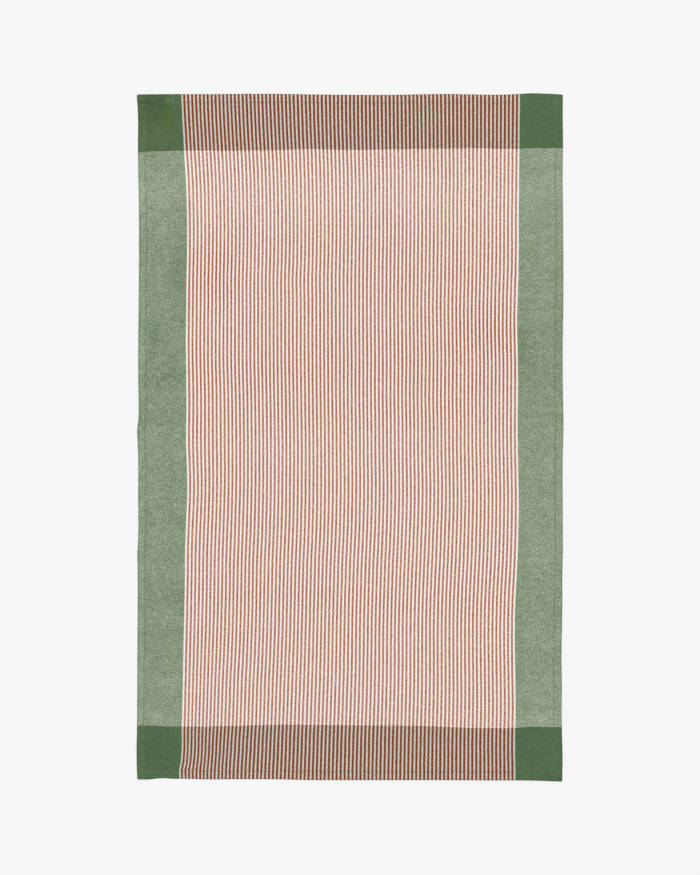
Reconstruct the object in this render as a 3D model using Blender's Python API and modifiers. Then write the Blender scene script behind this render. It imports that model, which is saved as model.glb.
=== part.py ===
"""Tea towel, 50 x 80 cm: one woven cotton cloth, hemmed on all four sides and laid flat.

Metres, +Z up. X runs across the cloth and Y along it. The origin lies under the middle of
the cloth's outline, on the surface that it rests on.
"""

import bmesh
import bpy
import numpy as np

PART_NAME = "tea_towel"
NODE_NAME = "towel"
MM = 0.001

# Driving sizes, in metres
CLOTH_WIDTH = 0.4975
CLOTH_LENGTH = 0.804
FIELD_THICKNESS = 0.0012
HEM_THICKNESS = 0.0024
SIDE_BAND_WIDTH = 0.054
END_BAND_DEPTH = 0.065

# Grid cells: across a side band, across the striped middle, along an end band, along the middle
SIDE_BAND_CELLS = 2
MIDDLE_CELLS_ACROSS = 20
END_BAND_CELLS = 2
MIDDLE_CELLS_ALONG = 48

# The turned hem, from its folded edge inwards. Columns: inset from the edge, thickness, metres
HEM_PROFILE = (
    (0.0000, 0.0016),
    (0.0012, HEM_THICKNESS),
    (0.0095, HEM_THICKNESS),
    (0.0150, FIELD_THICKNESS),
)

# How each hemmed edge strays from straight.
# Columns: place along the edge, mm from its middle; shift of the edge, mm towards +X or +Y
LEFT_EDGE = (
    (-402, -1.1),
    (-376, -1.95),
    (-340, -1.45),
    (-230, -0.85),
    (-180, -0.6),
    (-150, -0.75),
    (-137, -1.0),
    (-115, 0.0),
    (-70, 0.0),
    (-15, -0.2),
    (2, -1.0),
    (12, -1.1),
    (23, 0.2),
    (40, 0.5),
    (60, 0.2),
    (100, 0.0),
    (155, 0.5),
    (215, 1.05),
    (292, 0.6),
    (315, 0.1),
    (345, -0.35),
    (378, -0.2),
    (402, -1.7),
)
RIGHT_EDGE = (
    (-402, -0.3),
    (-370, 0.0),
    (-345, -0.65),
    (-318, -1.05),
    (-292, -0.75),
    (-260, -1.2),
    (-190, -0.2),
    (-165, -0.3),
    (-135, 0.3),
    (-90, 0.2),
    (-20, 0.25),
    (12, 1.1),
    (35, 0.8),
    (65, 0.2),
    (110, 0.1),
    (150, 0.7),
    (205, 0.75),
    (235, 0.6),
    (270, 0.3),
    (300, 0.05),
    (345, 0.55),
    (385, 0.25),
    (402, 0.4),
)
BOTTOM_EDGE = (
    (-249, 0.7),
    (-235, 0.6),
    (-219, 2.1),
    (-203, 1.5),
    (-180, 1.3),
    (-166, 0.8),
    (-126, 1.0),
    (-80, 0.85),
    (-40, 0.0),
    (10, -0.15),
    (120, -0.1),
    (170, -0.4),
    (212, -0.6),
    (249, -1.95),
)
TOP_EDGE = (
    (-249, -0.3),
    (-225, 0.05),
    (-150, 0.1),
    (-119, 0.4),
    (-85, 0.3),
    (-35, -0.4),
    (35, -0.75),
    (63, -0.5),
    (84, 0.0),
    (112, 0.25),
    (140, -0.2),
    (170, -0.55),
    (190, 0.1),
    (211, 1.15),
    (225, 0.8),
    (249, -0.4),
)

# Soft swells, where the cloth stands a little off the surface.
# Columns: centre x and y, reach along x and y, lift, all in mm
SWELLS = (
    (-265, 235, 110, 135, 1.7),
    (265, 200, 120, 165, 1.8),
    (-258, -55, 60, 75, 0.8),
    (258, -90, 65, 85, 0.8),
    (-90, 412, 120, 65, 0.9),
    (150, -410, 100, 60, 0.8),
)

# Yarn colours seen from a step away. Columns: zone, red, green, blue (linear)
ZONE_COLOURS = (
    ("striped_middle", 0.67, 0.50, 0.44),
    ("side_band", 0.27, 0.32, 0.23),
    ("end_band", 0.39, 0.30, 0.25),
    ("corner", 0.09, 0.15, 0.07),
)
STRIPED_MIDDLE, SIDE_BAND, END_BAND, CORNER = range(4)
COTTON_ROUGHNESS = 0.9


def grid_lines(half_size, band, band_cells, middle_cells):
    """Places of the grid's lines from one edge to the other, close together over the hems."""
    hem = [inset for inset, _ in HEM_PROFILE]
    band_lines = list(np.linspace(hem[-1], band, band_cells + 1))[1:]
    low_side = np.array(hem + band_lines) - half_size
    middle = np.linspace(low_side[-1], -low_side[-1], middle_cells + 1)[1:-1]
    return np.concatenate([low_side, middle, -low_side[::-1]])


def edge_shift(edge, place):
    """Shift of an edge, in metres, at a place along it: a smooth curve through its rows."""
    places, shifts = np.array(edge).T * MM
    slopes = np.gradient(shifts, places)
    row = int(np.clip(np.searchsorted(places, place) - 1, 0, len(places) - 2))
    span = places[row + 1] - places[row]
    t = (place - places[row]) / span
    ends = (1 + 2 * t) * (1 - t) ** 2 * shifts[row] + t * t * (3 - 2 * t) * shifts[row + 1]
    leans = t * (1 - t) ** 2 * slopes[row] - t * t * (1 - t) * slopes[row + 1]
    return ends + leans * span


def swell_height(x, y):
    """Height of the cloth's underside over the surface."""
    height = 0.0
    for centre_x, centre_y, reach_x, reach_y, lift in SWELLS:
        across = (x / MM - centre_x) / reach_x
        along = (y / MM - centre_y) / reach_y
        height += lift * MM * max(0.0, 1 - across ** 2 - along ** 2) ** 2
    return height


def cloth_thickness(x, y):
    """Thickness at a flat place: the field's, rising to the three layers of the hem."""
    inset = min(CLOTH_WIDTH / 2 - abs(x), CLOTH_LENGTH / 2 - abs(y))
    insets, thicknesses = zip(*HEM_PROFILE)
    return float(np.interp(inset, insets, thicknesses))


def laid_out(x, y):
    """Where a place on the flat cloth lies once its edges stray and its swells lift it."""
    right_share = 0.5 + x / CLOTH_WIDTH
    top_share = 0.5 + y / CLOTH_LENGTH
    shift_x = (1 - right_share) * edge_shift(LEFT_EDGE, y) + right_share * edge_shift(RIGHT_EDGE, y)
    shift_y = (1 - top_share) * edge_shift(BOTTOM_EDGE, x) + top_share * edge_shift(TOP_EDGE, x)
    return x + shift_x, y + shift_y, swell_height(x, y)


def weave_zone(x, y):
    """Which of the four colour zones a place on the flat cloth is in."""
    in_side_band = abs(x) > CLOTH_WIDTH / 2 - SIDE_BAND_WIDTH
    in_end_band = abs(y) > CLOTH_LENGTH / 2 - END_BAND_DEPTH
    if in_side_band:
        return CORNER if in_end_band else SIDE_BAND
    return END_BAND if in_end_band else STRIPED_MIDDLE


def zone_material(zone, red, green, blue):
    material = bpy.data.materials.new(NODE_NAME + "_" + zone)
    material.use_nodes = True
    shader = material.node_tree.nodes["Principled BSDF"]
    shader.inputs["Base Color"].default_value = (red, green, blue, 1.0)
    shader.inputs["Roughness"].default_value = COTTON_ROUGHNESS
    shader.inputs["Metallic"].default_value = 0.0
    return material


def make_towel(collection):
    """The cloth as one open sheet, given its thickness upwards by a Solidify modifier."""
    columns = grid_lines(CLOTH_WIDTH / 2, SIDE_BAND_WIDTH, SIDE_BAND_CELLS, MIDDLE_CELLS_ACROSS)
    rows = grid_lines(CLOTH_LENGTH / 2, END_BAND_DEPTH, END_BAND_CELLS, MIDDLE_CELLS_ALONG)
    sheet = bmesh.new()
    bmesh.ops.create_grid(sheet, x_segments=len(columns) - 1, y_segments=len(rows) - 1, size=1.0)

    thickness_weights = []
    for vertex in sheet.verts:
        x = columns[round((vertex.co.x + 1) / 2 * (len(columns) - 1))]
        y = rows[round((vertex.co.y + 1) / 2 * (len(rows) - 1))]
        vertex.co = (x, y, 0.0)
        thickness_weights.append(cloth_thickness(x, y) / HEM_THICKNESS)
    for face in sheet.faces:
        centre = face.calc_center_median()
        face.material_index = weave_zone(centre.x, centre.y)
        face.smooth = True
    for vertex in sheet.verts:
        vertex.co = laid_out(vertex.co.x, vertex.co.y)
    places = np.array([vertex.co for vertex in sheet.verts])
    middle = (places.min(axis=0) + places.max(axis=0)) / 2
    bmesh.ops.translate(sheet, verts=sheet.verts, vec=(-middle[0], -middle[1], 0.0))

    mesh = bpy.data.meshes.new(NODE_NAME)
    sheet.to_mesh(mesh)
    sheet.free()
    for row in ZONE_COLOURS:
        mesh.materials.append(zone_material(*row))
    towel = bpy.data.objects.new(NODE_NAME, mesh)
    collection.objects.link(towel)

    group = towel.vertex_groups.new(name="thickness")
    for index, weight in enumerate(thickness_weights):
        group.add([index], weight, "REPLACE")
    solidify = towel.modifiers.new("cloth_thickness", "SOLIDIFY")
    solidify.thickness = HEM_THICKNESS
    solidify.offset = 1.0
    solidify.vertex_group = group.name
    return towel


def main():
    for old in list(bpy.data.objects):
        bpy.data.objects.remove(old, do_unlink=True)
    collection = bpy.data.collections.new(PART_NAME)
    bpy.context.scene.collection.children.link(collection)
    make_towel(collection)


main()
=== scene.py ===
import math

import bpy
import numpy as np
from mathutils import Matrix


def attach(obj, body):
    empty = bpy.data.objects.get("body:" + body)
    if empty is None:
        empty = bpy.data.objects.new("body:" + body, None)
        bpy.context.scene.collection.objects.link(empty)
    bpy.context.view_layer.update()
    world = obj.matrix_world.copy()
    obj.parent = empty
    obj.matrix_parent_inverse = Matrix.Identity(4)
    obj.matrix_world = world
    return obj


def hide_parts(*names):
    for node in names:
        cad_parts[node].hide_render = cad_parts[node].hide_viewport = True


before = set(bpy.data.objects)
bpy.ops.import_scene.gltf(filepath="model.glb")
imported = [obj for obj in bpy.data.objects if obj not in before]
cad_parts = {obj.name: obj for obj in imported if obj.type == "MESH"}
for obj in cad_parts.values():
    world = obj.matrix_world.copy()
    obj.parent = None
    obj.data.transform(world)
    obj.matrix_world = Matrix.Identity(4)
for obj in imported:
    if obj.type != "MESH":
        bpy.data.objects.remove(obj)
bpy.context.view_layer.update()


# ---------------------------------------------------------------------------------------
# The cloth. One length of plain-woven cotton, 50 x 80 cm. The warp is green in the two side
# bands and cream and brick red by turns between them. The weft is green in the two end bands
# and cream elsewhere. Each edge is turned twice to the back, so a hem is three layers thick.

MM = 0.001
WARP_PITCH = 0.5705 * MM
WEFT_PITCH = 0.60 * MM
ENDS_IN_SIDE_BAND = 94
ENDS_IN_STRIPE = 4
STRIPES = 171
SIDE_BAND = ENDS_IN_SIDE_BAND * WARP_PITCH
STRIPE = ENDS_IN_STRIPE * WARP_PITCH
CLOTH_WIDTH = 2 * SIDE_BAND + STRIPES * STRIPE
CLOTH_LENGTH = 804 * MM
END_BAND = 64 * MM

# How the hemmed edges and the borders of the bands stray from straight.
# Columns: place along the line, mm from the cloth's middle; shift of the line, mm to +X or +Y
LEFT_EDGE = (
    (-402, -1.1),
    (-376, -1.95),
    (-340, -1.45),
    (-230, -0.85),
    (-180, -0.6),
    (-150, -0.75),
    (-137, -1.0),
    (-115, 0.0),
    (-70, 0.0),
    (-15, -0.2),
    (2, -1.0),
    (12, -1.1),
    (23, 0.2),
    (40, 0.5),
    (60, 0.2),
    (100, 0.0),
    (155, 0.5),
    (215, 1.05),
    (292, 0.6),
    (315, 0.1),
    (345, -0.35),
    (378, -0.2),
    (402, -1.7),
)
LEFT_BORDER = (
    (-402, -5.2),
    (-390, -5.5),
    (-384, -4.2),
    (-374, -3.3),
    (-366, -2.8),
    (-341, -2.7),
    (-316, -2.0),
    (-240, -0.4),
    (-166, 1.0),
    (-128, 1.4),
    (-54, 3.9),
    (0, 2.5),
    (40, 3.0),
    (115, 2.2),
    (190, 3.1),
    (228, 3.7),
    (303, 2.3),
    (340, -0.1),
    (358, -1.0),
    (374, -2.0),
    (388, -2.6),
    (402, -3.1),
)
RIGHT_BORDER = (
    (-402, -1.6),
    (-385, -1.6),
    (-364, -2.0),
    (-340, -1.7),
    (-325, -1.3),
    (-297, -1.4),
    (-272, -1.8),
    (-241, -2.3),
    (-185, -1.4),
    (-147, 0.7),
    (-72, 2.2),
    (0, 1.1),
    (78, 1.4),
    (135, 0.5),
    (172, 1.2),
    (193, 1.9),
    (265, 2.4),
    (340, 3.2),
    (402, 3.8),
)
RIGHT_EDGE = (
    (-402, -0.3),
    (-370, 0.0),
    (-345, -0.65),
    (-318, -1.05),
    (-292, -0.75),
    (-260, -1.2),
    (-190, -0.2),
    (-165, -0.3),
    (-135, 0.3),
    (-90, 0.2),
    (-20, 0.25),
    (12, 1.1),
    (35, 0.8),
    (65, 0.2),
    (110, 0.1),
    (150, 0.7),
    (205, 0.75),
    (235, 0.6),
    (270, 0.3),
    (300, 0.05),
    (345, 0.55),
    (385, 0.25),
    (402, 0.4),
)
BOTTOM_EDGE = (
    (-249, 0.7),
    (-235, 0.6),
    (-219, 2.1),
    (-203, 1.5),
    (-180, 1.3),
    (-166, 0.8),
    (-126, 1.0),
    (-80, 0.85),
    (-40, 0.0),
    (10, -0.15),
    (120, -0.1),
    (170, -0.4),
    (212, -0.6),
    (249, -1.95),
)
BOTTOM_BORDER = (
    (-249, -0.2),
    (-238, 0.05),
    (-224, -0.7),
    (-194, -1.4),
    (-129, -0.4),
    (-75, 0.7),
    (20, 0.0),
    (96, -0.8),
    (134, -2.5),
    (171, -3.2),
    (200, -2.6),
    (215, -1.45),
    (230, -1.8),
    (249, -1.8),
)
TOP_BORDER = (
    (-249, -4.3),
    (-223, -2.8),
    (-148, -2.2),
    (-91, -1.7),
    (-54, -0.5),
    (-7, -1.2),
    (96, 0.1),
    (143, 0.6),
    (181, -0.1),
    (212, 0.65),
    (232, 0.6),
    (249, 0.2),
)
TOP_EDGE = (
    (-249, -0.3),
    (-225, 0.05),
    (-150, 0.1),
    (-119, 0.4),
    (-85, 0.3),
    (-35, -0.4),
    (35, -0.75),
    (63, -0.5),
    (84, 0.0),
    (112, 0.25),
    (140, -0.2),
    (170, -0.55),
    (190, 0.1),
    (211, 1.15),
    (225, 0.8),
    (249, -0.4),
)

# Five stripes that guide the others, by their places across the cloth, mm from its middle
GUIDE_STRIPES = (-152, -130, -65, 0, 100)
# How the five stray from straight.
# Columns: place along the cloth, mm from its middle; shift of each of the five, mm to +X
STRIPES_ALONG = (
    (-402, -8.6, -9.3, -8.6, -6.8, -4.7),
    (-382, -7.7, -8.6, -7.8, -6.6, -4.5),
    (-372, -6.9, -7.8, -7.4, -6.2, -4.3),
    (-354, -6.1, -6.9, -6.8, -5.8, -4.1),
    (-340, -5.3, -5.9, -6.1, -5.2, -3.8),
    (-308, -4.1, -4.7, -5.0, -4.1, -2.9),
    (-284, -3.3, -4.0, -4.1, -3.3, -2.6),
    (-261, -2.3, -2.7, -3.2, -2.9, -2.6),
    (-214, -0.6, -0.9, -1.8, -2.2, -2.5),
    (-167, 0.3, 0.0, -0.8, -1.0, -1.0),
    (-144, 0.6, 0.3, -0.2, -0.3, 0.1),
    (-120, 1.4, 1.3, 0.9, 0.9, 1.0),
    (-73, 2.9, 2.7, 2.1, 2.2, 2.5),
    (-50, 3.4, 3.1, 2.2, 2.3, 2.4),
    (-15, 3.3, 3.1, 2.4, 2.0, 1.8),
    (20, 3.1, 2.9, 2.0, 1.8, 1.7),
    (44, 2.9, 2.6, 1.7, 1.5, 1.2),
    (67, 2.5, 2.1, 1.3, 1.4, 1.4),
    (91, 1.8, 1.5, 1.1, 1.5, 1.7),
    (114, 1.8, 1.5, 1.0, 1.3, 1.4),
    (161, 2.1, 1.6, 1.0, 1.2, 0.9),
    (184, 2.0, 1.6, 0.7, 1.1, 1.4),
    (208, 2.5, 2.1, 1.5, 1.4, 1.7),
    (243, 2.9, 2.6, 1.9, 1.9, 2.0),
    (278, 2.5, 2.2, 1.6, 1.8, 2.0),
    (302, 2.0, 1.7, 1.1, 1.6, 2.3),
    (325, 0.9, 0.7, 0.4, 1.0, 2.0),
    (359, -1.2, -1.4, -1.3, 0.1, 1.7),
    (381, -2.3, -2.5, -2.1, -0.3, 1.5),
    (402, -3.0, -3.2, -2.8, -0.5, 1.1),
)

# Soft swells, where the cloth stands a little off the surface.
# Columns: centre x and y, reach along x and y, lift, all in mm
SWELLS = (
    (-265, 235, 110, 135, 1.7),
    (265, 200, 120, 165, 1.8),
    (-258, -55, 60, 75, 0.8),
    (258, -90, 65, 85, 0.8),
    (-90, 412, 120, 65, 0.9),
    (150, -410, 100, 60, 0.8),
    (-214, 73, 46, 22, 0.9),
    (242, 75, 26, 18, 0.5),
)

# Old fold lines, pressed nearly flat, and small wrinkles. A negative height is a trough.
# Columns: x and y of one end, x and y of the other, half width, height, all in mm
CREASES = (
    (-250, -21, 250, -22, 7, 0.35),
    (-250, -222, 250, -221, 7, 0.30),
    (-250, 192, 250, 191, 7, 0.30),
    (-250, 92, 250, 90, 7, 0.30),
    (0, -402, 2, 402, 6, 0.20),
    (-238, 69, -188, 79, 4, -0.85),
    (234, 76, 250, 75, 4, -0.50),
)

CLOTH_THICKNESS = 0.6 * MM
HEM_LAYERS = 3
LEFT_STITCH_INSET = 8.15 * MM
RIGHT_STITCH_INSET = 9.05 * MM
END_STITCH_INSET = 9.6 * MM
FLAP_PAST_STITCH = 1.5 * MM
SLOPE_PAST_FLAP = 11.0 * MM
STITCH_DIP = 0.40 * MM
STITCH_DIP_REACH = 0.8 * MM
CORNER_RADIUS = 1.6 * MM
GRID_PITCH = 4.0 * MM

# The share of a hem's height that is not added again where it crosses another at a corner
CORNER_OVERLAP = 0.5

# The underside steps up between these two distances past the edge of the turned flap
FLAP_STEP = (-0.1 * MM, 0.5 * MM)

# A crease falls to about a third of its height at this share of its half width
CREASE_CORE = 0.45
CREASE_FALL = 1.5

# Grid lines over a hem, mm. First from the folded edge, then from the line of stitching
LINES_FROM_EDGE = (0, 0.12, 0.35, 0.75, 1.2, 2.2, 3.6, 5.2)
LINES_FROM_STITCH = (-2.2, -1.3, -0.7, -0.3, 0, 0.3, 0.7, 1.2, 1.5, 1.9, 3.0, 5.0, 7.5, 10.0, 12.5)

# Grid lines near a crease, mm from its middle. Then the middles of the creases, mm: of those
# that run across the cloth, and of the one that runs along it
LINES_NEAR_CREASE = (-9, -6, -4, -2.5, -1.2, 0, 1.2, 2.5, 4, 6, 9)
CREASE_ROWS = (-222, -21, 73, 91, 192)
CREASE_COLUMNS = (1,)


def curve_through(rows, places):
    """A smooth curve through a table's rows, in metres, read at each place."""
    at, shift = np.array(rows).T * MM
    lean = np.gradient(shift, at)
    row = np.clip(np.searchsorted(at, places) - 1, 0, len(at) - 2)
    span = at[row + 1] - at[row]
    t = np.clip((places - at[row]) / span, 0, 1)
    ends = (1 + 2 * t) * (1 - t) ** 2 * shift[row] + t * t * (3 - 2 * t) * shift[row + 1]
    leans = t * (1 - t) ** 2 * lean[row] - t * t * (1 - t) * lean[row + 1]
    return ends + leans * span


def between(lines, tables, across, along):
    """The shift of a place between guide lines, each with its own table of shifts."""
    shares = np.eye(len(lines))
    return sum(
        np.interp(across, lines, shares[n]) * curve_through(rows, along)
        for n, rows in enumerate(tables)
    )


def smooth_step(low, high, value):
    t = np.clip((value - low) / (high - low), 0, 1)
    return t * t * (3 - 2 * t)


def softened_corner(u, v):
    """Draws the four corners in to a small radius."""
    x = u - CLOTH_WIDTH / 2
    y = v - CLOTH_LENGTH / 2
    past_x = np.clip(1 - (CLOTH_WIDTH / 2 - abs(x)) / CORNER_RADIUS, 0, 1)
    past_y = np.clip(1 - (CLOTH_LENGTH / 2 - abs(y)) / CORNER_RADIUS, 0, 1)
    drawn_x = past_x * (1 - np.sqrt(1 - past_y ** 2 / 2)) * CORNER_RADIUS
    drawn_y = past_y * (1 - np.sqrt(1 - past_x ** 2 / 2)) * CORNER_RADIUS
    return x - np.sign(x) * drawn_x, y - np.sign(y) * drawn_y


def cloth_lift(x, y):
    """How far the cloth's underside stands off the surface, from its swells and creases."""
    lift = np.zeros_like(x)
    for centre_x, centre_y, reach_x, reach_y, height in SWELLS:
        away = ((x / MM - centre_x) / reach_x) ** 2 + ((y / MM - centre_y) / reach_y) ** 2
        lift += height * MM * np.clip(1 - away, 0, 1) ** 2
    for x0, y0, x1, y1, half_width, height in CREASES:
        run_x = x1 - x0
        run_y = y1 - y0
        run = math.hypot(run_x, run_y)
        along = ((x / MM - x0) * run_x + (y / MM - y0) * run_y) / run
        off = ((x / MM - x0) * run_y - (y / MM - y0) * run_x) / run
        start = smooth_step(-half_width, half_width, along)
        end = smooth_step(-half_width, half_width, run - along)
        core = half_width * CREASE_CORE
        lift += height * MM * (start * end) / (1 + (off / core) ** 2) ** CREASE_FALL
    return lift.clip(0)


def stray(u, v, x, y):
    """How far the uneven edges, borders and stripes carry a place, along x and along y."""
    guide_lines = [CLOTH_WIDTH / 2 + place * MM for place in GUIDE_STRIPES]
    guide_tables = [
        [(row[0], row[1 + n]) for row in STRIPES_ALONG] for n in range(len(GUIDE_STRIPES))
    ]
    side_lines = (0, SIDE_BAND, *guide_lines, CLOTH_WIDTH - SIDE_BAND, CLOTH_WIDTH)
    side_tables = (LEFT_EDGE, LEFT_BORDER, *guide_tables, RIGHT_BORDER, RIGHT_EDGE)
    end_lines = (0, END_BAND, CLOTH_LENGTH - END_BAND, CLOTH_LENGTH)
    end_tables = (BOTTOM_EDGE, BOTTOM_BORDER, TOP_BORDER, TOP_EDGE)
    return between(side_lines, side_tables, u, y), between(end_lines, end_tables, v, x)


def face_and_back(u, v, lift):
    """Heights of the face and of the back, with the three layers of the hems."""
    inset_u = np.minimum(u, CLOTH_WIDTH - u)
    inset_v = np.minimum(v, CLOTH_LENGTH - v)
    side_stitch_inset = np.where(u < CLOTH_WIDTH / 2, LEFT_STITCH_INSET, RIGHT_STITCH_INSET)
    side_flap = side_stitch_inset + FLAP_PAST_STITCH
    end_flap = END_STITCH_INSET + FLAP_PAST_STITCH

    # The turned layers raise the face, and the stitching draws it down along its line
    over_side = 1 - smooth_step(side_flap, side_flap + SLOPE_PAST_FLAP, inset_u)
    over_end = 1 - smooth_step(end_flap, end_flap + SLOPE_PAST_FLAP, inset_v)
    extra = (HEM_LAYERS - 1) * CLOTH_THICKNESS
    raised = extra * (over_side + over_end - CORNER_OVERLAP * over_side * over_end)
    dip = STITCH_DIP * (
        np.exp(-(((inset_u - side_stitch_inset) / STITCH_DIP_REACH) ** 2))
        + np.exp(-(((inset_v - END_STITCH_INSET) / STITCH_DIP_REACH) ** 2))
    )
    face = CLOTH_THICKNESS + raised - dip

    # Past the flap there is one layer, so the back follows the face
    past_flap = np.minimum(inset_u - side_flap, inset_v - end_flap)
    back = (face - CLOTH_THICKNESS).clip(0) * smooth_step(*FLAP_STEP, past_flap)

    # Face and back meet in a round fold at the edge
    middle = (face + back) / 2
    edge_round = HEM_LAYERS * CLOTH_THICKNESS / 2
    to_edge = np.clip(np.minimum(inset_u, inset_v) / edge_round, 0, 1)
    fullness = np.sqrt(1 - (1 - to_edge) ** 2)
    return [lift + middle + (height - middle) * fullness for height in (face, back)]


def place_on_cloth(u, v):
    """Lays the cloth out. u and v are places in the weave, in metres from its lower left
    corner. Returns x, y, and the heights of the face and of the back."""
    x, y = softened_corner(u, v)
    shift_x, shift_y = stray(u, v, x, y)
    face, back = face_and_back(u, v, cloth_lift(x, y))
    return x + shift_x, y + shift_y, face, back


def grid_lines(size, low_stitch_inset, high_stitch_inset, crease_middles):
    """Places of the mesh's lines across the cloth: close over hems and creases, then even."""
    low_side, high_side = (
        np.append(LINES_FROM_EDGE, stitch_inset / MM + np.array(LINES_FROM_STITCH)) * MM
        for stitch_inset in (low_stitch_inset, high_stitch_inset)
    )
    cells = round((size - low_side[-1] - high_side[-1]) / GRID_PITCH)
    middle = np.linspace(low_side[-1], size - high_side[-1], cells + 1)[1:-1]
    near_crease = np.array(LINES_NEAR_CREASE) * MM
    for crease_middle in crease_middles:
        at = size / 2 + crease_middle * MM
        middle = middle[abs(middle - at) > near_crease[-1] + GRID_PITCH / 2]
        middle = np.append(middle, at + near_crease)
    return np.concatenate([low_side, np.sort(middle), size - high_side[::-1]])


def quads(grid, turned):
    """Faces between the rows and columns of a grid of vertex numbers."""
    corners = [grid[:-1, :-1], grid[1:, :-1], grid[1:, 1:], grid[:-1, 1:]]
    return np.stack(corners[::-1] if turned else corners, axis=-1).reshape(-1, 4)


def weave_mesh():
    """The cloth's face and back as two grids that meet at the folded edges."""
    columns = grid_lines(CLOTH_WIDTH, LEFT_STITCH_INSET, RIGHT_STITCH_INSET, CREASE_COLUMNS)
    rows = grid_lines(CLOTH_LENGTH, END_STITCH_INSET, END_STITCH_INSET, CREASE_ROWS)
    u, v = np.meshgrid(columns, rows, indexing="ij")
    x, y, face, back = place_on_cloth(u, v)

    face_number = np.arange(u.size).reshape(u.shape)
    inner = np.zeros(u.shape, bool)
    inner[1:-1, 1:-1] = True
    back_number = face_number.copy()
    back_number[inner] = u.size + np.arange(inner.sum())
    points = np.concatenate([
        np.stack([x, y, face], axis=-1).reshape(-1, 3),
        np.stack([x, y, back], axis=-1)[inner],
    ])
    weave = np.stack([u, v], axis=-1)
    weave = np.concatenate([weave.reshape(-1, 2), weave[inner]])
    faces = np.concatenate([quads(face_number, False), quads(back_number, True)])

    mesh = bpy.data.meshes.new("striped_cloth")
    mesh.from_pydata(points.tolist(), [], faces.tolist())
    mesh.shade_smooth()
    # One layer holds places in the weave, in metres, and the other spreads the cloth over 0 to 1
    for name, scale in (("weave", (1, 1)), ("OFBake", (1 / CLOTH_WIDTH, 1 / CLOTH_LENGTH))):
        layer = mesh.uv_layers.new(name=name)
        layer.uv.foreach_set("vector", (weave[faces.reshape(-1)] * scale).reshape(-1))
    return mesh


class Tone:
    """What varies over a surface: one node's output, with arithmetic on numbers."""

    def __init__(self, tree, socket=None):
        self.tree = tree
        self.socket = socket

    def node(self, kind, settings, inputs, output=0):
        """Adds a node: its type, its settings, then the values or links of its sockets. The
        setting "points" holds the points of a curve, as pairs of a place and a level."""
        made = self.tree.nodes.new(kind)
        for name, value in settings.items():
            if name == "points":
                curve = made.mapping.curves[0]
                curve.points[0].location = value[0]
                curve.points[1].location = value[-1]
                for place, level in value[1:-1]:
                    curve.points.new(place, level)
                made.mapping.update()
            else:
                setattr(made, name, value)
        for name, value in inputs.items():
            if isinstance(value, Tone):
                self.tree.links.new(value.socket, made.inputs[name])
            else:
                made.inputs[name].default_value = value
        return Tone(self.tree, made.outputs[output])

    def maths(self, operation, *values):
        return self.node("ShaderNodeMath", {"operation": operation}, dict(enumerate(values)))

    def __add__(self, other):
        return self.maths("ADD", self, other)

    __radd__ = __add__

    def __sub__(self, other):
        return self.maths("SUBTRACT", self, other)

    def __rsub__(self, other):
        return self.maths("SUBTRACT", other, self)

    def __mul__(self, other):
        return self.maths("MULTIPLY", self, other)

    def __truediv__(self, other):
        return self.maths("DIVIDE", self, other)

    def __mod__(self, other):
        return self.maths("FLOORED_MODULO", self, other)

    def __gt__(self, other):
        return self.maths("GREATER_THAN", self, other)

    def __lt__(self, other):
        return self.maths("LESS_THAN", self, other)


# A yarn's colour depends on what lies under it, since the cotton lets some light through
GREEN_OVER_GREEN = (0.081, 0.137, 0.065, 1)
GREEN_OVER_CREAM = (0.137, 0.203, 0.104, 1)
CREAM_OVER_CREAM = (0.82, 0.815, 0.755, 1)
CREAM_OVER_GREEN = (0.612, 0.65, 0.575, 1)
RED_OVER_CREAM = (0.418, 0.064, 0.011, 1)
RED_OVER_GREEN = (0.272, 0.022, 0.003, 1)
COTTON_ROUGHNESS = 0.9
COTTON_SHEEN = 0.10
COTTON_SPECULAR = 0.2

# Grains of noise. Columns: size across the cloth and along it; rounds of finer detail; and a
# number that sets the grain apart from the others
WAVY_ENDS = (6 * MM, 40 * MM, 1, 1.7)
WAVY_PICKS = (40 * MM, 6 * MM, 1, 8.2)
SPECKS = (1.65 * MM, 2.0 * MM, 1, 3.1)
COARSE_SPECKS = (3.4 * MM, 2.4 * MM, 1, 5.5)
BLOTCHES = (7 * MM, 7 * MM, 1, 4.6)
BARS = (500 * MM, 26 * MM, 3, 2.2)
STREAKS = (12 * MM, 300 * MM, 2, 7.3)
SIDE_HEM_PUCKERS = (16 * MM, 7 * MM, 2, 6.4)
END_HEM_PUCKERS = (7 * MM, 16 * MM, 2, 9.3)

# How far the yarns wander, and how much wider a red stripe is than its own ends, in yarns
YARN_WAVINESS = 0.5
RED_SPREAD = 0.08
RED_SPREAD_AT_ENDS = 0.40

# The share of the weft that shows, and what changes it from place to place
WEFT_SHOWING = 0.14
MORE_WEFT_RIGHT = 0.03
MORE_WEFT_FROM = CLOTH_WIDTH - 1.5 * SIDE_BAND
CROSSING_CONTRAST = 0.10
BLOTCH_CONTRAST = 0.10
BAR_CONTRAST = 0.06
STREAK_CONTRAST = 0.03
EVENER_IN_MIDDLE = 0.6
SPECK_HUE_IN_MIDDLE = 0.03
SPECK_HUE_IN_BANDS = 0.12

# How strongly the specks make the yarns lighter and darker, in steps that look even to the eye
EYE_GAMMA = 2.4
SPECK_ON_CREAM = 0.10
SPECK_ON_RED = 0.33
SPECK_ON_END_CREAM = 0.16
SPECK_ON_END_RED = 0.21
SPECK_IN_SIDE_BAND = 0.158
SPECK_IN_CORNER = 0.063
COARSE_SPECK = 0.02
COARSE_SPECK_AT_ENDS = 0.04
COARSE_SPECK_IN_CORNER = 0.042

# Relief of the yarns, and of the puckers on the hems
YARN_RELIEF = 0.04 * MM
PUCKER_HEIGHT = 1.0 * MM
PUCKER_FADE = 5.0 * MM

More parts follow.
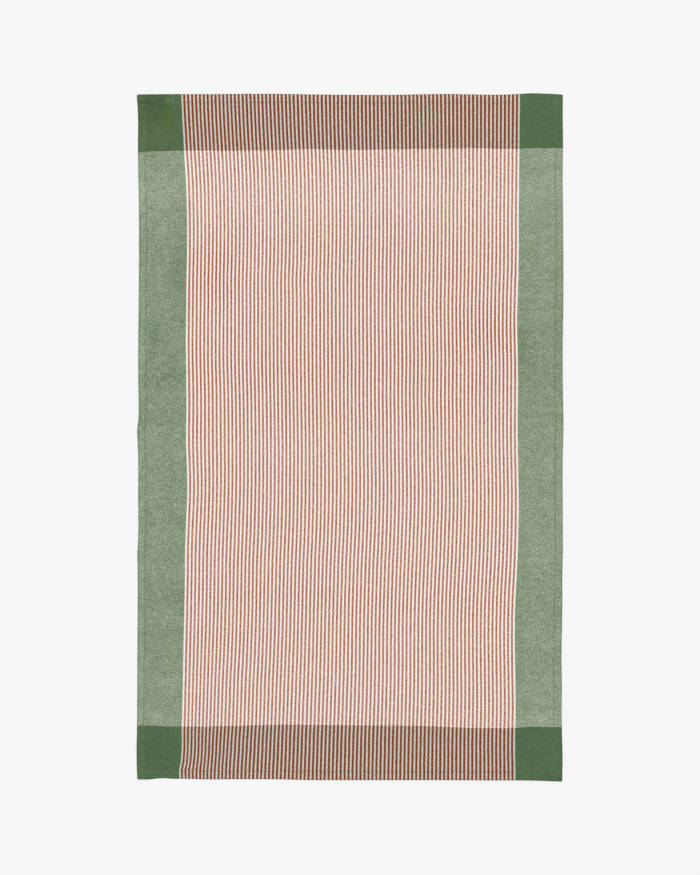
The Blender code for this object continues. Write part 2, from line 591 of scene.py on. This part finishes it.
# Light and shade on the hems, painted into the colour: painted shade on the rim that turns away,
# painted light on the thicker flap of the left hem, a lighter flap at the ends, and painted
# shade along the seam, painted lighter in the corners
RIM_WIDTH = 1.9 * MM
LEFT_RIM_WIDTH = 2.6 * MM
RIM_SHADE = 0.66
HEM_FADE = 1.0 * MM
LEFT_HEM_PAINTED_LIGHT = 0.10
END_HEM_LIGHTER = 0.03
SEAM_REACH = 1.7 * MM
SIDE_SEAM_SHADE = 0.10
END_SEAM_SHADE = 0.045
SEAM_SHADE_IN_CORNER = -0.18

# The curve along the cloth has levels from 0 to 1. They stand for this span of shares of weft,
# with the usual share at the middle
WEFT_ALONG_SPAN = 0.2
CURVE_MIDDLE = 0.5

# The weft is beaten in more or less closely along the cloth.
# Columns: place along the cloth, mm from its middle; share of weft added to the usual
WEFT_ALONG = (
    (-402, 0.038),
    (-345, 0.044),
    (-328, 0.034),
    (-312, 0.014),
    (-270, 0.009),
    (-240, 0),
    (-219, 0.014),
    (-195, -0.011),
    (-150, 0.002),
    (-125, 0.012),
    (-70, 0.002),
    (-45, 0),
    (-22, 0.02),
    (-5, 0.018),
    (20, -0.01),
    (50, -0.008),
    (72, -0.034),
    (100, -0.022),
    (150, -0.004),
    (200, 0),
    (250, 0.022),
    (284, 0.058),
    (315, 0.04),
    (345, 0.022),
    (402, 0),
)
# Places where less of the weft shows.
# Columns: centre x and y, reach along x and y, all in mm; share of weft added to the usual
THIN_PLACES = (
    (-199, 200, 30, 62, -0.046),
    (-157, 188, 47, 58, -0.095),
    (-100, -100, 130, 95, -0.013),
    (200, 98, 30, 42, -0.042),
    (158, 128, 62, 42, -0.095),
    (224, 125, 42, 13, -0.045),
    (-231, 118, 9, 34, -0.075),
)
# Darker marks and faded places, and painted light and shade: painted shadows along creases and
# wrinkles, painted highlights on wrinkles, and painted light over broad places such as the lower
# right. Columns: centre x and y, mm from the cloth's middle; reach along x and y, mm; share by
# which more red, green and blue comes back, or less if negative
NO_CHANGE = (1, 1, 1, 1)
MARKS_AND_PAINTED_SHADING = (
    (-228, 369, 53, 50, -0.03, -0.08, -0.24),
    (-225, -370, 38, 38, -0.09, -0.055, -0.045),
    (225, 370, 45, 45, 0.05, 0.02, 0.03),
    (225, -370, 45, 45, 0, 0.035, 0.06),
    (120, -150, 280, 330, 0.025, 0.025, 0.025),
    (-240, 393, 15, 3.0, -0.38, -0.29, -0.13),
    (-222, 392, 22, 3.5, -0.15, -0.13, -0.12),
    (-247, 372, 7, 32, -0.13, -0.13, -0.13),
    (-221, 389.5, 7, 3.0, -0.2, -0.16, -0.16),
    (-208, 395, 11, 7, 0.23, 0.23, 0.29),
    (-219, 381, 9, 9, -0.09, -0.08, -0.09),
    (-206, 366, 3.5, 14, -0.1, -0.09, -0.08),
    (219, 393.5, 16, 1.4, 0.06, 0.06, 0.06),
    (219, 390.6, 24, 1.4, -0.11, -0.1, -0.09),
    (242, 384, 4, 16, 0.08, 0.11, 0.13),
    (-205, -350, 10, 13, 0.06, 0.01, -0.12),
    (-234, -384, 7, 1.8, -0.16, -0.15, -0.13),
    (-213, -391, 19, 4.5, 0.02, -0.11, 0.02),
    (-242, -392, 1.6, 9, 0.22, 0.22, 0.22),
    (238.5, -369, 1.6, 20, 0.11, 0.11, 0.11),
    (234, -391, 11, 1.5, -0.15, -0.14, -0.13),
    (233, -396, 9, 1.5, -0.13, -0.12, -0.1),
    (236, 92, 12, 18, 0.06, 0.05, 0.06),
    (228, -140, 24, 42, 0.05, 0.04, 0.06),
    (237, -379, 12, 13, 0.09, 0.06, 0.06),
    (-238, -94, 11, 38, -0.05, -0.05, -0.05),
    (-235, 394, 40, 18, -0.19, -0.19, -0.23),
    (-231, 332, 6, 3, -0.26, -0.23, -0.23),
    (-202, 262, 18, 48, -0.08, -0.11, -0.13),
    (-208, 192, 17, 38, -0.1, -0.11, -0.13),
    (-200, 158, 18, 36, -0.08, -0.11, -0.14),
    (-246, 236, 9, 50, -0.13, -0.13, -0.15),
    (-246, 92, 8, 26, 0.15, 0.12, 0.15),
    (-246, 20, 9, 50, -0.11, -0.11, -0.11),
    (-226, 70, 13, 5, -0.19, -0.18, -0.17),
    (-210, 73, 15, 5, -0.19, -0.18, -0.17),
    (-197, 77, 11, 5, -0.15, -0.14, -0.13),
    (-229, 357, 32, 18, 0.14, 0.11, 0.13),
    (-231, 379, 28, 11, -0.11, -0.1, -0.12),
    (226, 264, 42, 46, -0.1, -0.07, -0.105),
    (244, 195, 9, 125, -0.05, -0.04, -0.06),
    (220, 22, 26, 32, 0.08, 0.05, 0.08),
    (-228, -328, 34, 12, 0.15, 0.13, 0.15),
    (224, -328, 34, 11, 0.15, 0.13, 0.15),
    (-212, 375, 11, 34, 0, 0, -0.15),
    (236, -397, 26, 8, -0.08, -0.08, -0.08),
)


def woven_cotton():
    material = bpy.data.materials.new("woven_cotton")
    material.use_nodes = True
    tree = material.node_tree
    shader = tree.nodes["Principled BSDF"]
    cloth = Tone(tree)

    def grain(across_size, along_size, detail, seed):
        """Uneven noise around 0, at most 1 either way, with grains that wide and that long."""
        at = cloth.node(
            "ShaderNodeCombineXYZ", {}, {"X": u / across_size, "Y": v / along_size, "Z": seed}
        )
        noise = cloth.node(
            "ShaderNodeTexNoise", {"noise_dimensions": "3D"},
            {"Vector": at, "Scale": 1.0, "Detail": detail},
        )
        return (noise - 0.5) * 2

    def mixed(share, colour, other, blend="MIX"):
        """One colour where the share is 0, the other where it is 1."""
        return cloth.node(
            "ShaderNodeMix", {"data_type": "RGBA", "blend_type": blend},
            {0: share, 6: colour, 7: other}, output=2,
        )

    def in_all_three(value):
        """The same number for red, green and blue."""
        return cloth.node("ShaderNodeCombineXYZ", {}, {0: value, 1: value, 2: value})

    def ramp(value, low, high, low_level, high_level):
        """A soft step from one level to another."""
        return cloth.node(
            "ShaderNodeMapRange", {"interpolation_type": "SMOOTHSTEP"},
            {0: value, 1: low, 2: high, 3: low_level, 4: high_level},
        )

    def near(centre_x, centre_y, reach_x, reach_y):
        """1 at a place on the cloth, falling to 0 at its reach, all in mm."""
        off_u = (u - (CLOTH_WIDTH / 2 + centre_x * MM)) / (reach_x * MM)
        off_v = (v - (CLOTH_LENGTH / 2 + centre_y * MM)) / (reach_y * MM)
        share = cloth.maths("MAXIMUM", 1 - off_u * off_u - off_v * off_v, 0)
        return share * share

    def by_zone(middle, side_band, end_band, corner):
        """A number for each of the weave's four zones."""
        away_from_ends = middle + in_side_band * (side_band - middle)
        at_ends = end_band + in_side_band * (corner - end_band)
        return away_from_ends + in_end_band * (at_ends - away_from_ends)

    weave = cloth.node("ShaderNodeUVMap", {"uv_map": "weave"}, {})
    u = cloth.node("ShaderNodeSeparateXYZ", {}, {0: weave}, output="X")
    v = cloth.node("ShaderNodeSeparateXYZ", {}, {0: weave}, output="Y")
    inset_u = cloth.maths("MINIMUM", u, CLOTH_WIDTH - u)
    inset_v = cloth.maths("MINIMUM", v, CLOTH_LENGTH - v)

    # Places counted in warp ends and in weft picks, each yarn a little wavy
    end = u / WARP_PITCH + grain(*WAVY_ENDS) * YARN_WAVINESS
    pick = v / WEFT_PITCH + grain(*WAVY_PICKS) * YARN_WAVINESS
    first_green_end_right = ENDS_IN_SIDE_BAND + STRIPES * ENDS_IN_STRIPE
    in_side_band = (end < ENDS_IN_SIDE_BAND) + (end > first_green_end_right)
    in_end_band = (v < END_BAND) + (v > CLOTH_LENGTH - END_BAND)
    red_spread = RED_SPREAD + in_end_band * (RED_SPREAD_AT_ENDS - RED_SPREAD)
    place_in_pair = (end - ENDS_IN_SIDE_BAND - red_spread / 2) % (2 * ENDS_IN_STRIPE)
    red = place_in_pair > ENDS_IN_STRIPE - red_spread
    stripes_over_cream = mixed(red, CREAM_OVER_CREAM, RED_OVER_CREAM)
    stripes_over_green = mixed(red, CREAM_OVER_GREEN, RED_OVER_GREEN)
    over_cream = mixed(in_side_band, stripes_over_cream, GREEN_OVER_CREAM)
    over_green = mixed(in_side_band, stripes_over_green, GREEN_OVER_GREEN)
    warp_colour = mixed(in_end_band, over_cream, over_green)
    weft_colour = mixed(in_end_band, CREAM_OVER_CREAM, GREEN_OVER_GREEN)

    # Plain weave: warp and weft lie on top by turns, and uneven yarn shows more of one
    crossing = cloth.maths("SINE", end * math.pi) * cloth.maths("SINE", pick * math.pi)
    beaten_points = [
        (0.5 + y * MM / CLOTH_LENGTH, CURVE_MIDDLE + share / WEFT_ALONG_SPAN)
        for y, share in WEFT_ALONG
    ]
    beaten = cloth.node(
        "ShaderNodeFloatCurve", {"points": beaten_points}, {"Value": v / CLOTH_LENGTH}
    )
    speck = grain(*SPECKS)
    unevenness = (
        grain(*BLOTCHES) * BLOTCH_CONTRAST
        + grain(*BARS) * BAR_CONTRAST
        + grain(*STREAKS) * STREAK_CONTRAST
    )
    weft_share = (
        WEFT_SHOWING
        + (beaten - CURVE_MIDDLE) * WEFT_ALONG_SPAN
        + ramp(u, MORE_WEFT_FROM, CLOTH_WIDTH, 0, MORE_WEFT_RIGHT)
        + crossing * CROSSING_CONTRAST
        + speck * by_zone(SPECK_HUE_IN_MIDDLE, SPECK_HUE_IN_BANDS, -SPECK_HUE_IN_MIDDLE, 0)
        + unevenness * by_zone(EVENER_IN_MIDDLE, 1, 1, 1)
    )
    for *place, share in THIN_PLACES:
        weft_share = weft_share + near(*place) * share
    colour = mixed(weft_share, warp_colour, weft_colour)

    # The turned hem is lighter at the ends, and painted light makes the left hem lighter still.
    # Painted shade darkens the rim, which turns away from the light, and the seam, which draws the
    # cloth in; in the corners the seam has painted light instead
    over_left_hem = ramp(u, LEFT_STITCH_INSET, LEFT_STITCH_INSET + HEM_FADE, 1, 0)
    over_end_hem = ramp(inset_v, END_STITCH_INSET, END_STITCH_INSET + HEM_FADE, 1, 0)
    # Painted shade on the rim, widest on the left
    rim = ramp(cloth.maths("MINIMUM", inset_u, inset_v), 0, RIM_WIDTH, RIM_SHADE, 1)
    rim = cloth.maths("MINIMUM", rim, ramp(u, 0, LEFT_RIM_WIDTH, RIM_SHADE, 1))
    seam = 0
    for off_seam in (
        u - LEFT_STITCH_INSET, CLOTH_WIDTH - RIGHT_STITCH_INSET - u, inset_v - END_STITCH_INSET
    ):
        seam = ramp(cloth.maths("ABSOLUTE", off_seam), 0, SEAM_REACH, 1, 0) + seam
    seam_shade = by_zone(SIDE_SEAM_SHADE, SIDE_SEAM_SHADE, END_SEAM_SHADE, SEAM_SHADE_IN_CORNER)
    shade = rim * (
        1 + over_left_hem * LEFT_HEM_PAINTED_LIGHT + over_end_hem * END_HEM_LIGHTER - seam * seam_shade
    )
    colour = mixed(1.0, colour, in_all_three(shade), "MULTIPLY")
    # Marks, and painted light and shade: painted shadows along creases and wrinkles, painted
    # highlights on wrinkles, and painted light over broad places
    for *place, more_red, more_green, more_blue in MARKS_AND_PAINTED_SHADING:
        mark_or_painted_shading = (1 + more_red, 1 + more_green, 1 + more_blue, 1)
        colour = mixed(1.0, colour, mixed(near(*place), NO_CHANGE, mark_or_painted_shading), "MULTIPLY")

    # Specks make the yarns lighter and darker, by steps that look even to the eye
    on_stripe = SPECK_ON_CREAM + red * (SPECK_ON_RED - SPECK_ON_CREAM)
    on_end_stripe = SPECK_ON_END_CREAM + red * (SPECK_ON_END_RED - SPECK_ON_END_CREAM)
    fine_speck = speck * by_zone(on_stripe, SPECK_IN_SIDE_BAND, on_end_stripe, SPECK_IN_CORNER)
    coarse_speck = grain(*COARSE_SPECKS) * by_zone(
        COARSE_SPECK, 0, COARSE_SPECK_AT_ENDS, COARSE_SPECK_IN_CORNER
    )
    steps = in_all_three(fine_speck + coarse_speck)
    as_seen = cloth.node("ShaderNodeGamma", {}, {0: colour, 1: 1 / EYE_GAMMA})
    specked = cloth.node("ShaderNodeVectorMath", {"operation": "ADD"}, {0: as_seen, 1: steps})
    colour = cloth.node("ShaderNodeGamma", {}, {0: specked, 1: EYE_GAMMA})
    tree.links.new(colour.socket, shader.inputs["Base Color"])

    # Each yarn is round where it lies on top
    warp_round = cloth.maths("ABSOLUTE", cloth.maths("SINE", end * math.pi))
    weft_round = cloth.maths("ABSOLUTE", cloth.maths("SINE", pick * math.pi))
    weft_up = crossing > 0
    yarns = warp_round * (1 - weft_up) + weft_round * weft_up

    # The hems pucker a little, across the way that they run
    at_side_hem = ramp(inset_u, RIGHT_STITCH_INSET, RIGHT_STITCH_INSET + PUCKER_FADE, 1, 0)
    at_end_hem = ramp(inset_v, END_STITCH_INSET, END_STITCH_INSET + PUCKER_FADE, 1, 0)
    puckers = grain(*SIDE_HEM_PUCKERS) * at_side_hem + grain(*END_HEM_PUCKERS) * at_end_hem
    relief = yarns * YARN_RELIEF + puckers * PUCKER_HEIGHT
    bump = cloth.node(
        "ShaderNodeBump", {}, {"Strength": 1.0, "Distance": 1.0, "Height": relief}
    )
    tree.links.new(bump.socket, shader.inputs["Normal"])
    shader.inputs["Roughness"].default_value = COTTON_ROUGHNESS
    shader.inputs["Sheen Weight"].default_value = COTTON_SHEEN
    shader.inputs["Specular IOR Level"].default_value = COTTON_SPECULAR
    return material


mesh = weave_mesh()
cloth_piece = bpy.data.objects.new("striped_cloth", mesh)
bpy.context.scene.collection.objects.link(cloth_piece)
mesh.materials.append(woven_cotton())

# The middle of the outline comes over the origin
box = np.array([vertex.co for vertex in mesh.vertices])
outline_middle = (box.min(axis=0) + box.max(axis=0)) / 2
outline_middle[2] = 0
mesh.vertices.foreach_set("co", (box - outline_middle).astype(np.float32).reshape(-1))
mesh.update()

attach(cloth_piece, "root")
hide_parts("towel")


# ---------------------------------------------------------------------------------------
# The hem's stitching. One line of lockstitch in green thread on each side, which shows alike
# on the face and on the back. Each stitch goes down into the cloth at both of its ends.

STITCH_PITCH = 3.2 * MM
STITCH_LENGTH = 2.75 * MM
# How far from a corner the first stitch starts, in stitches
FIRST_STITCH_ALONG = 0.2
FIRST_STITCH_ACROSS = 0.3
THREAD_RADIUS = 0.20 * MM
THREAD_SIDES = 6
# Columns: place along a stitch, from 0 to 1; height over the cloth, mm; share of the radius
STITCH_RINGS = (
    (0.0, -0.20, 0.6),
    (0.12, 0.02, 0.9),
    (0.5, 0.10, 1.0),
    (0.88, 0.02, 0.9),
    (1.0, -0.20, 0.6),
)
# The lighter green is a painted highlight along the thread's twist
THREAD_GREEN = (0.085, 0.13, 0.07, 1)
THREAD_PAINTED_HIGHLIGHT_GREEN = (0.136, 0.208, 0.112, 1)
THREAD_ROUGHNESS = 0.7
TWISTS_PER_METRE = 1800.0


def stitched_seams():
    """The lines that the needle follows in the weave: one point where each stitch starts, and
    the direction in which the seam runs."""
    along = (np.arange(int(CLOTH_LENGTH / STITCH_PITCH)) + FIRST_STITCH_ALONG) * STITCH_PITCH
    across = (np.arange(int(CLOTH_WIDTH / STITCH_PITCH)) + FIRST_STITCH_ACROSS) * STITCH_PITCH
    starts, runs = [], []
    for u in (LEFT_STITCH_INSET, CLOTH_WIDTH - RIGHT_STITCH_INSET):
        starts.append(np.stack([np.full(len(along), u), along], axis=1))
        runs.append(np.tile((0.0, 1.0), (len(along), 1)))
    for v in (END_STITCH_INSET, CLOTH_LENGTH - END_STITCH_INSET):
        starts.append(np.stack([across, np.full(len(across), v)], axis=1))
        runs.append(np.tile((1.0, 0.0), (len(across), 1)))
    return np.concatenate(starts), np.concatenate(runs)


def stitch_mesh():
    """Each stitch as a row of rings, once on the face and once on the back."""
    starts, runs = stitched_seams()
    at, height, share = np.array(STITCH_RINGS).T
    way = starts[:, None] + runs[:, None] * (at[:, None] * STITCH_LENGTH)
    x, y, face, back = place_on_cloth(way[..., 0], way[..., 1])

    # The thread's round section, by stitch, ring, side and then x, y and z
    turn = np.arange(THREAD_SIDES) * 2 * math.pi / THREAD_SIDES
    sideways = np.stack([-runs[:, 1], runs[:, 0], np.zeros(len(runs))], axis=1)
    upwards = np.array([0, 0, 1.0])
    section = np.cos(turn)[:, None] * sideways[:, None, None] + np.sin(turn)[:, None] * upwards
    radius = (THREAD_RADIUS * share)[:, None, None]

    points, faces = [], []
    for surface, up in ((face, 1), (back, -1)):
        centre = np.stack([x, y, surface + up * height * MM], axis=-1)
        centre[..., :2] -= outline_middle[:2]
        if up < 0:
            # The thread under the cloth lies on the surface, not in it
            centre[..., 2] = np.maximum(centre[..., 2], THREAD_RADIUS)
        rings = centre[:, :, None] + radius * section
        first = sum(len(group) for group in points)
        points.append(rings.reshape(-1, 3))
        number = first + np.arange(rings[..., 0].size).reshape(rings.shape[:3])
        around = np.roll(number, -1, axis=2)
        corners = [number[:, :-1], around[:, :-1], around[:, 1:], number[:, 1:]]
        faces += np.stack(corners, axis=-1).reshape(-1, 4).tolist()
        faces += number[:, 0, ::-1].tolist()
        faces += number[:, -1].tolist()
    mesh = bpy.data.meshes.new("hem_stitching")
    mesh.from_pydata(np.concatenate(points).tolist(), [], faces)
    mesh.shade_smooth()
    return mesh


def sewing_thread():
    material = bpy.data.materials.new("sewing_thread")
    material.use_nodes = True
    tree = material.node_tree
    shader = tree.nodes["Principled BSDF"]
    thread = Tone(tree)
    # Painted highlights: the thread turns lighter green in patches along its twist
    place = thread.node("ShaderNodeTexCoord", {}, {}, output="Object")
    twist = thread.node("ShaderNodeTexNoise", {}, {"Vector": place, "Scale": TWISTS_PER_METRE})
    colour = thread.node(
        "ShaderNodeMix", {"data_type": "RGBA"},
        {0: twist, 6: THREAD_GREEN, 7: THREAD_PAINTED_HIGHLIGHT_GREEN}, output=2,
    )
    tree.links.new(colour.socket, shader.inputs["Base Color"])
    shader.inputs["Roughness"].default_value = THREAD_ROUGHNESS
    return material


stitching = bpy.data.objects.new("hem_stitching", stitch_mesh())
bpy.context.scene.collection.objects.link(stitching)
stitching.data.materials.append(sewing_thread())
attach(stitching, "root")


# ---------------------------------------------------------------------------------------
# The surface that the towel lies on: plain and nearly white. Most of its light is its own
# even glow, so the towel throws only a faint shadow on it.

FLOOR_SIZE = 30.0
FLOOR_GREY = (0.12, 0.12, 0.12, 1)
FLOOR_GLOW = 0.80

bpy.ops.mesh.primitive_plane_add(size=FLOOR_SIZE)
floor = bpy.context.object
floor.name = "floor"
paper = bpy.data.materials.new("plain_white")
paper.use_nodes = True
paper_shader = paper.node_tree.nodes["Principled BSDF"]
paper_shader.inputs["Base Color"].default_value = FLOOR_GREY
paper_shader.inputs["Roughness"].default_value = 1.0
paper_shader.inputs["Specular IOR Level"].default_value = 0.0
paper_shader.inputs["Emission Color"].default_value = (1, 1, 1, 1)
paper_shader.inputs["Emission Strength"].default_value = FLOOR_GLOW
floor.data.materials.append(paper)


# ---------------------------------------------------------------------------------------
# The light: soft and even from all round, and a large softbox to the upper left.

SKY_STRENGTH = 0.645
SOFTBOX_PLACE = (-1.1, 1.3, 4.4)
SOFTBOX_SIZE = 2.5
SOFTBOX_WATTS = 105

world = bpy.data.worlds.new("soft_studio")
world.use_nodes = True
world.node_tree.nodes["Background"].inputs["Color"].default_value = (1, 1, 1, 1)
world.node_tree.nodes["Background"].inputs["Strength"].default_value = SKY_STRENGTH
bpy.context.scene.world = world
softbox_light = bpy.data.lights.new("softbox", "AREA")
softbox_light.size = SOFTBOX_SIZE
softbox_light.energy = SOFTBOX_WATTS
softbox = bpy.data.objects.new("softbox", softbox_light)
softbox.location = SOFTBOX_PLACE
softbox.rotation_euler = softbox.location.to_track_quat("Z", "Y").to_euler()
bpy.context.scene.collection.objects.link(softbox)
bpy.context.scene.view_settings.view_transform = "Standard"


# ---------------------------------------------------------------------------------------
# The camera: straight above, through a long lens, framed as in the photograph.

MM_PER_PIXEL = 1.172
PHOTO_WIDTH_PX = 700
PHOTO_HEIGHT_PX = 875
TOWEL_MIDDLE_X_PX = 350.0
TOWEL_MIDDLE_Y_PX = 437.45
CAMERA_HEIGHT = 3.2
SENSOR_HEIGHT = 36.0

camera_data = bpy.data.cameras.new("camera")
camera_data.sensor_fit = "VERTICAL"
camera_data.sensor_height = SENSOR_HEIGHT
height_over_hem = CAMERA_HEIGHT - HEM_LAYERS * CLOTH_THICKNESS
camera_data.lens = SENSOR_HEIGHT * height_over_hem / (PHOTO_HEIGHT_PX * MM_PER_PIXEL * MM)
camera = bpy.data.objects.new("camera", camera_data)
camera.location = (
    (PHOTO_WIDTH_PX / 2 - TOWEL_MIDDLE_X_PX) * MM_PER_PIXEL * MM,
    (TOWEL_MIDDLE_Y_PX - PHOTO_HEIGHT_PX / 2) * MM_PER_PIXEL * MM,
    CAMERA_HEIGHT,
)
bpy.context.scene.collection.objects.link(camera)
bpy.context.scene.camera = camera
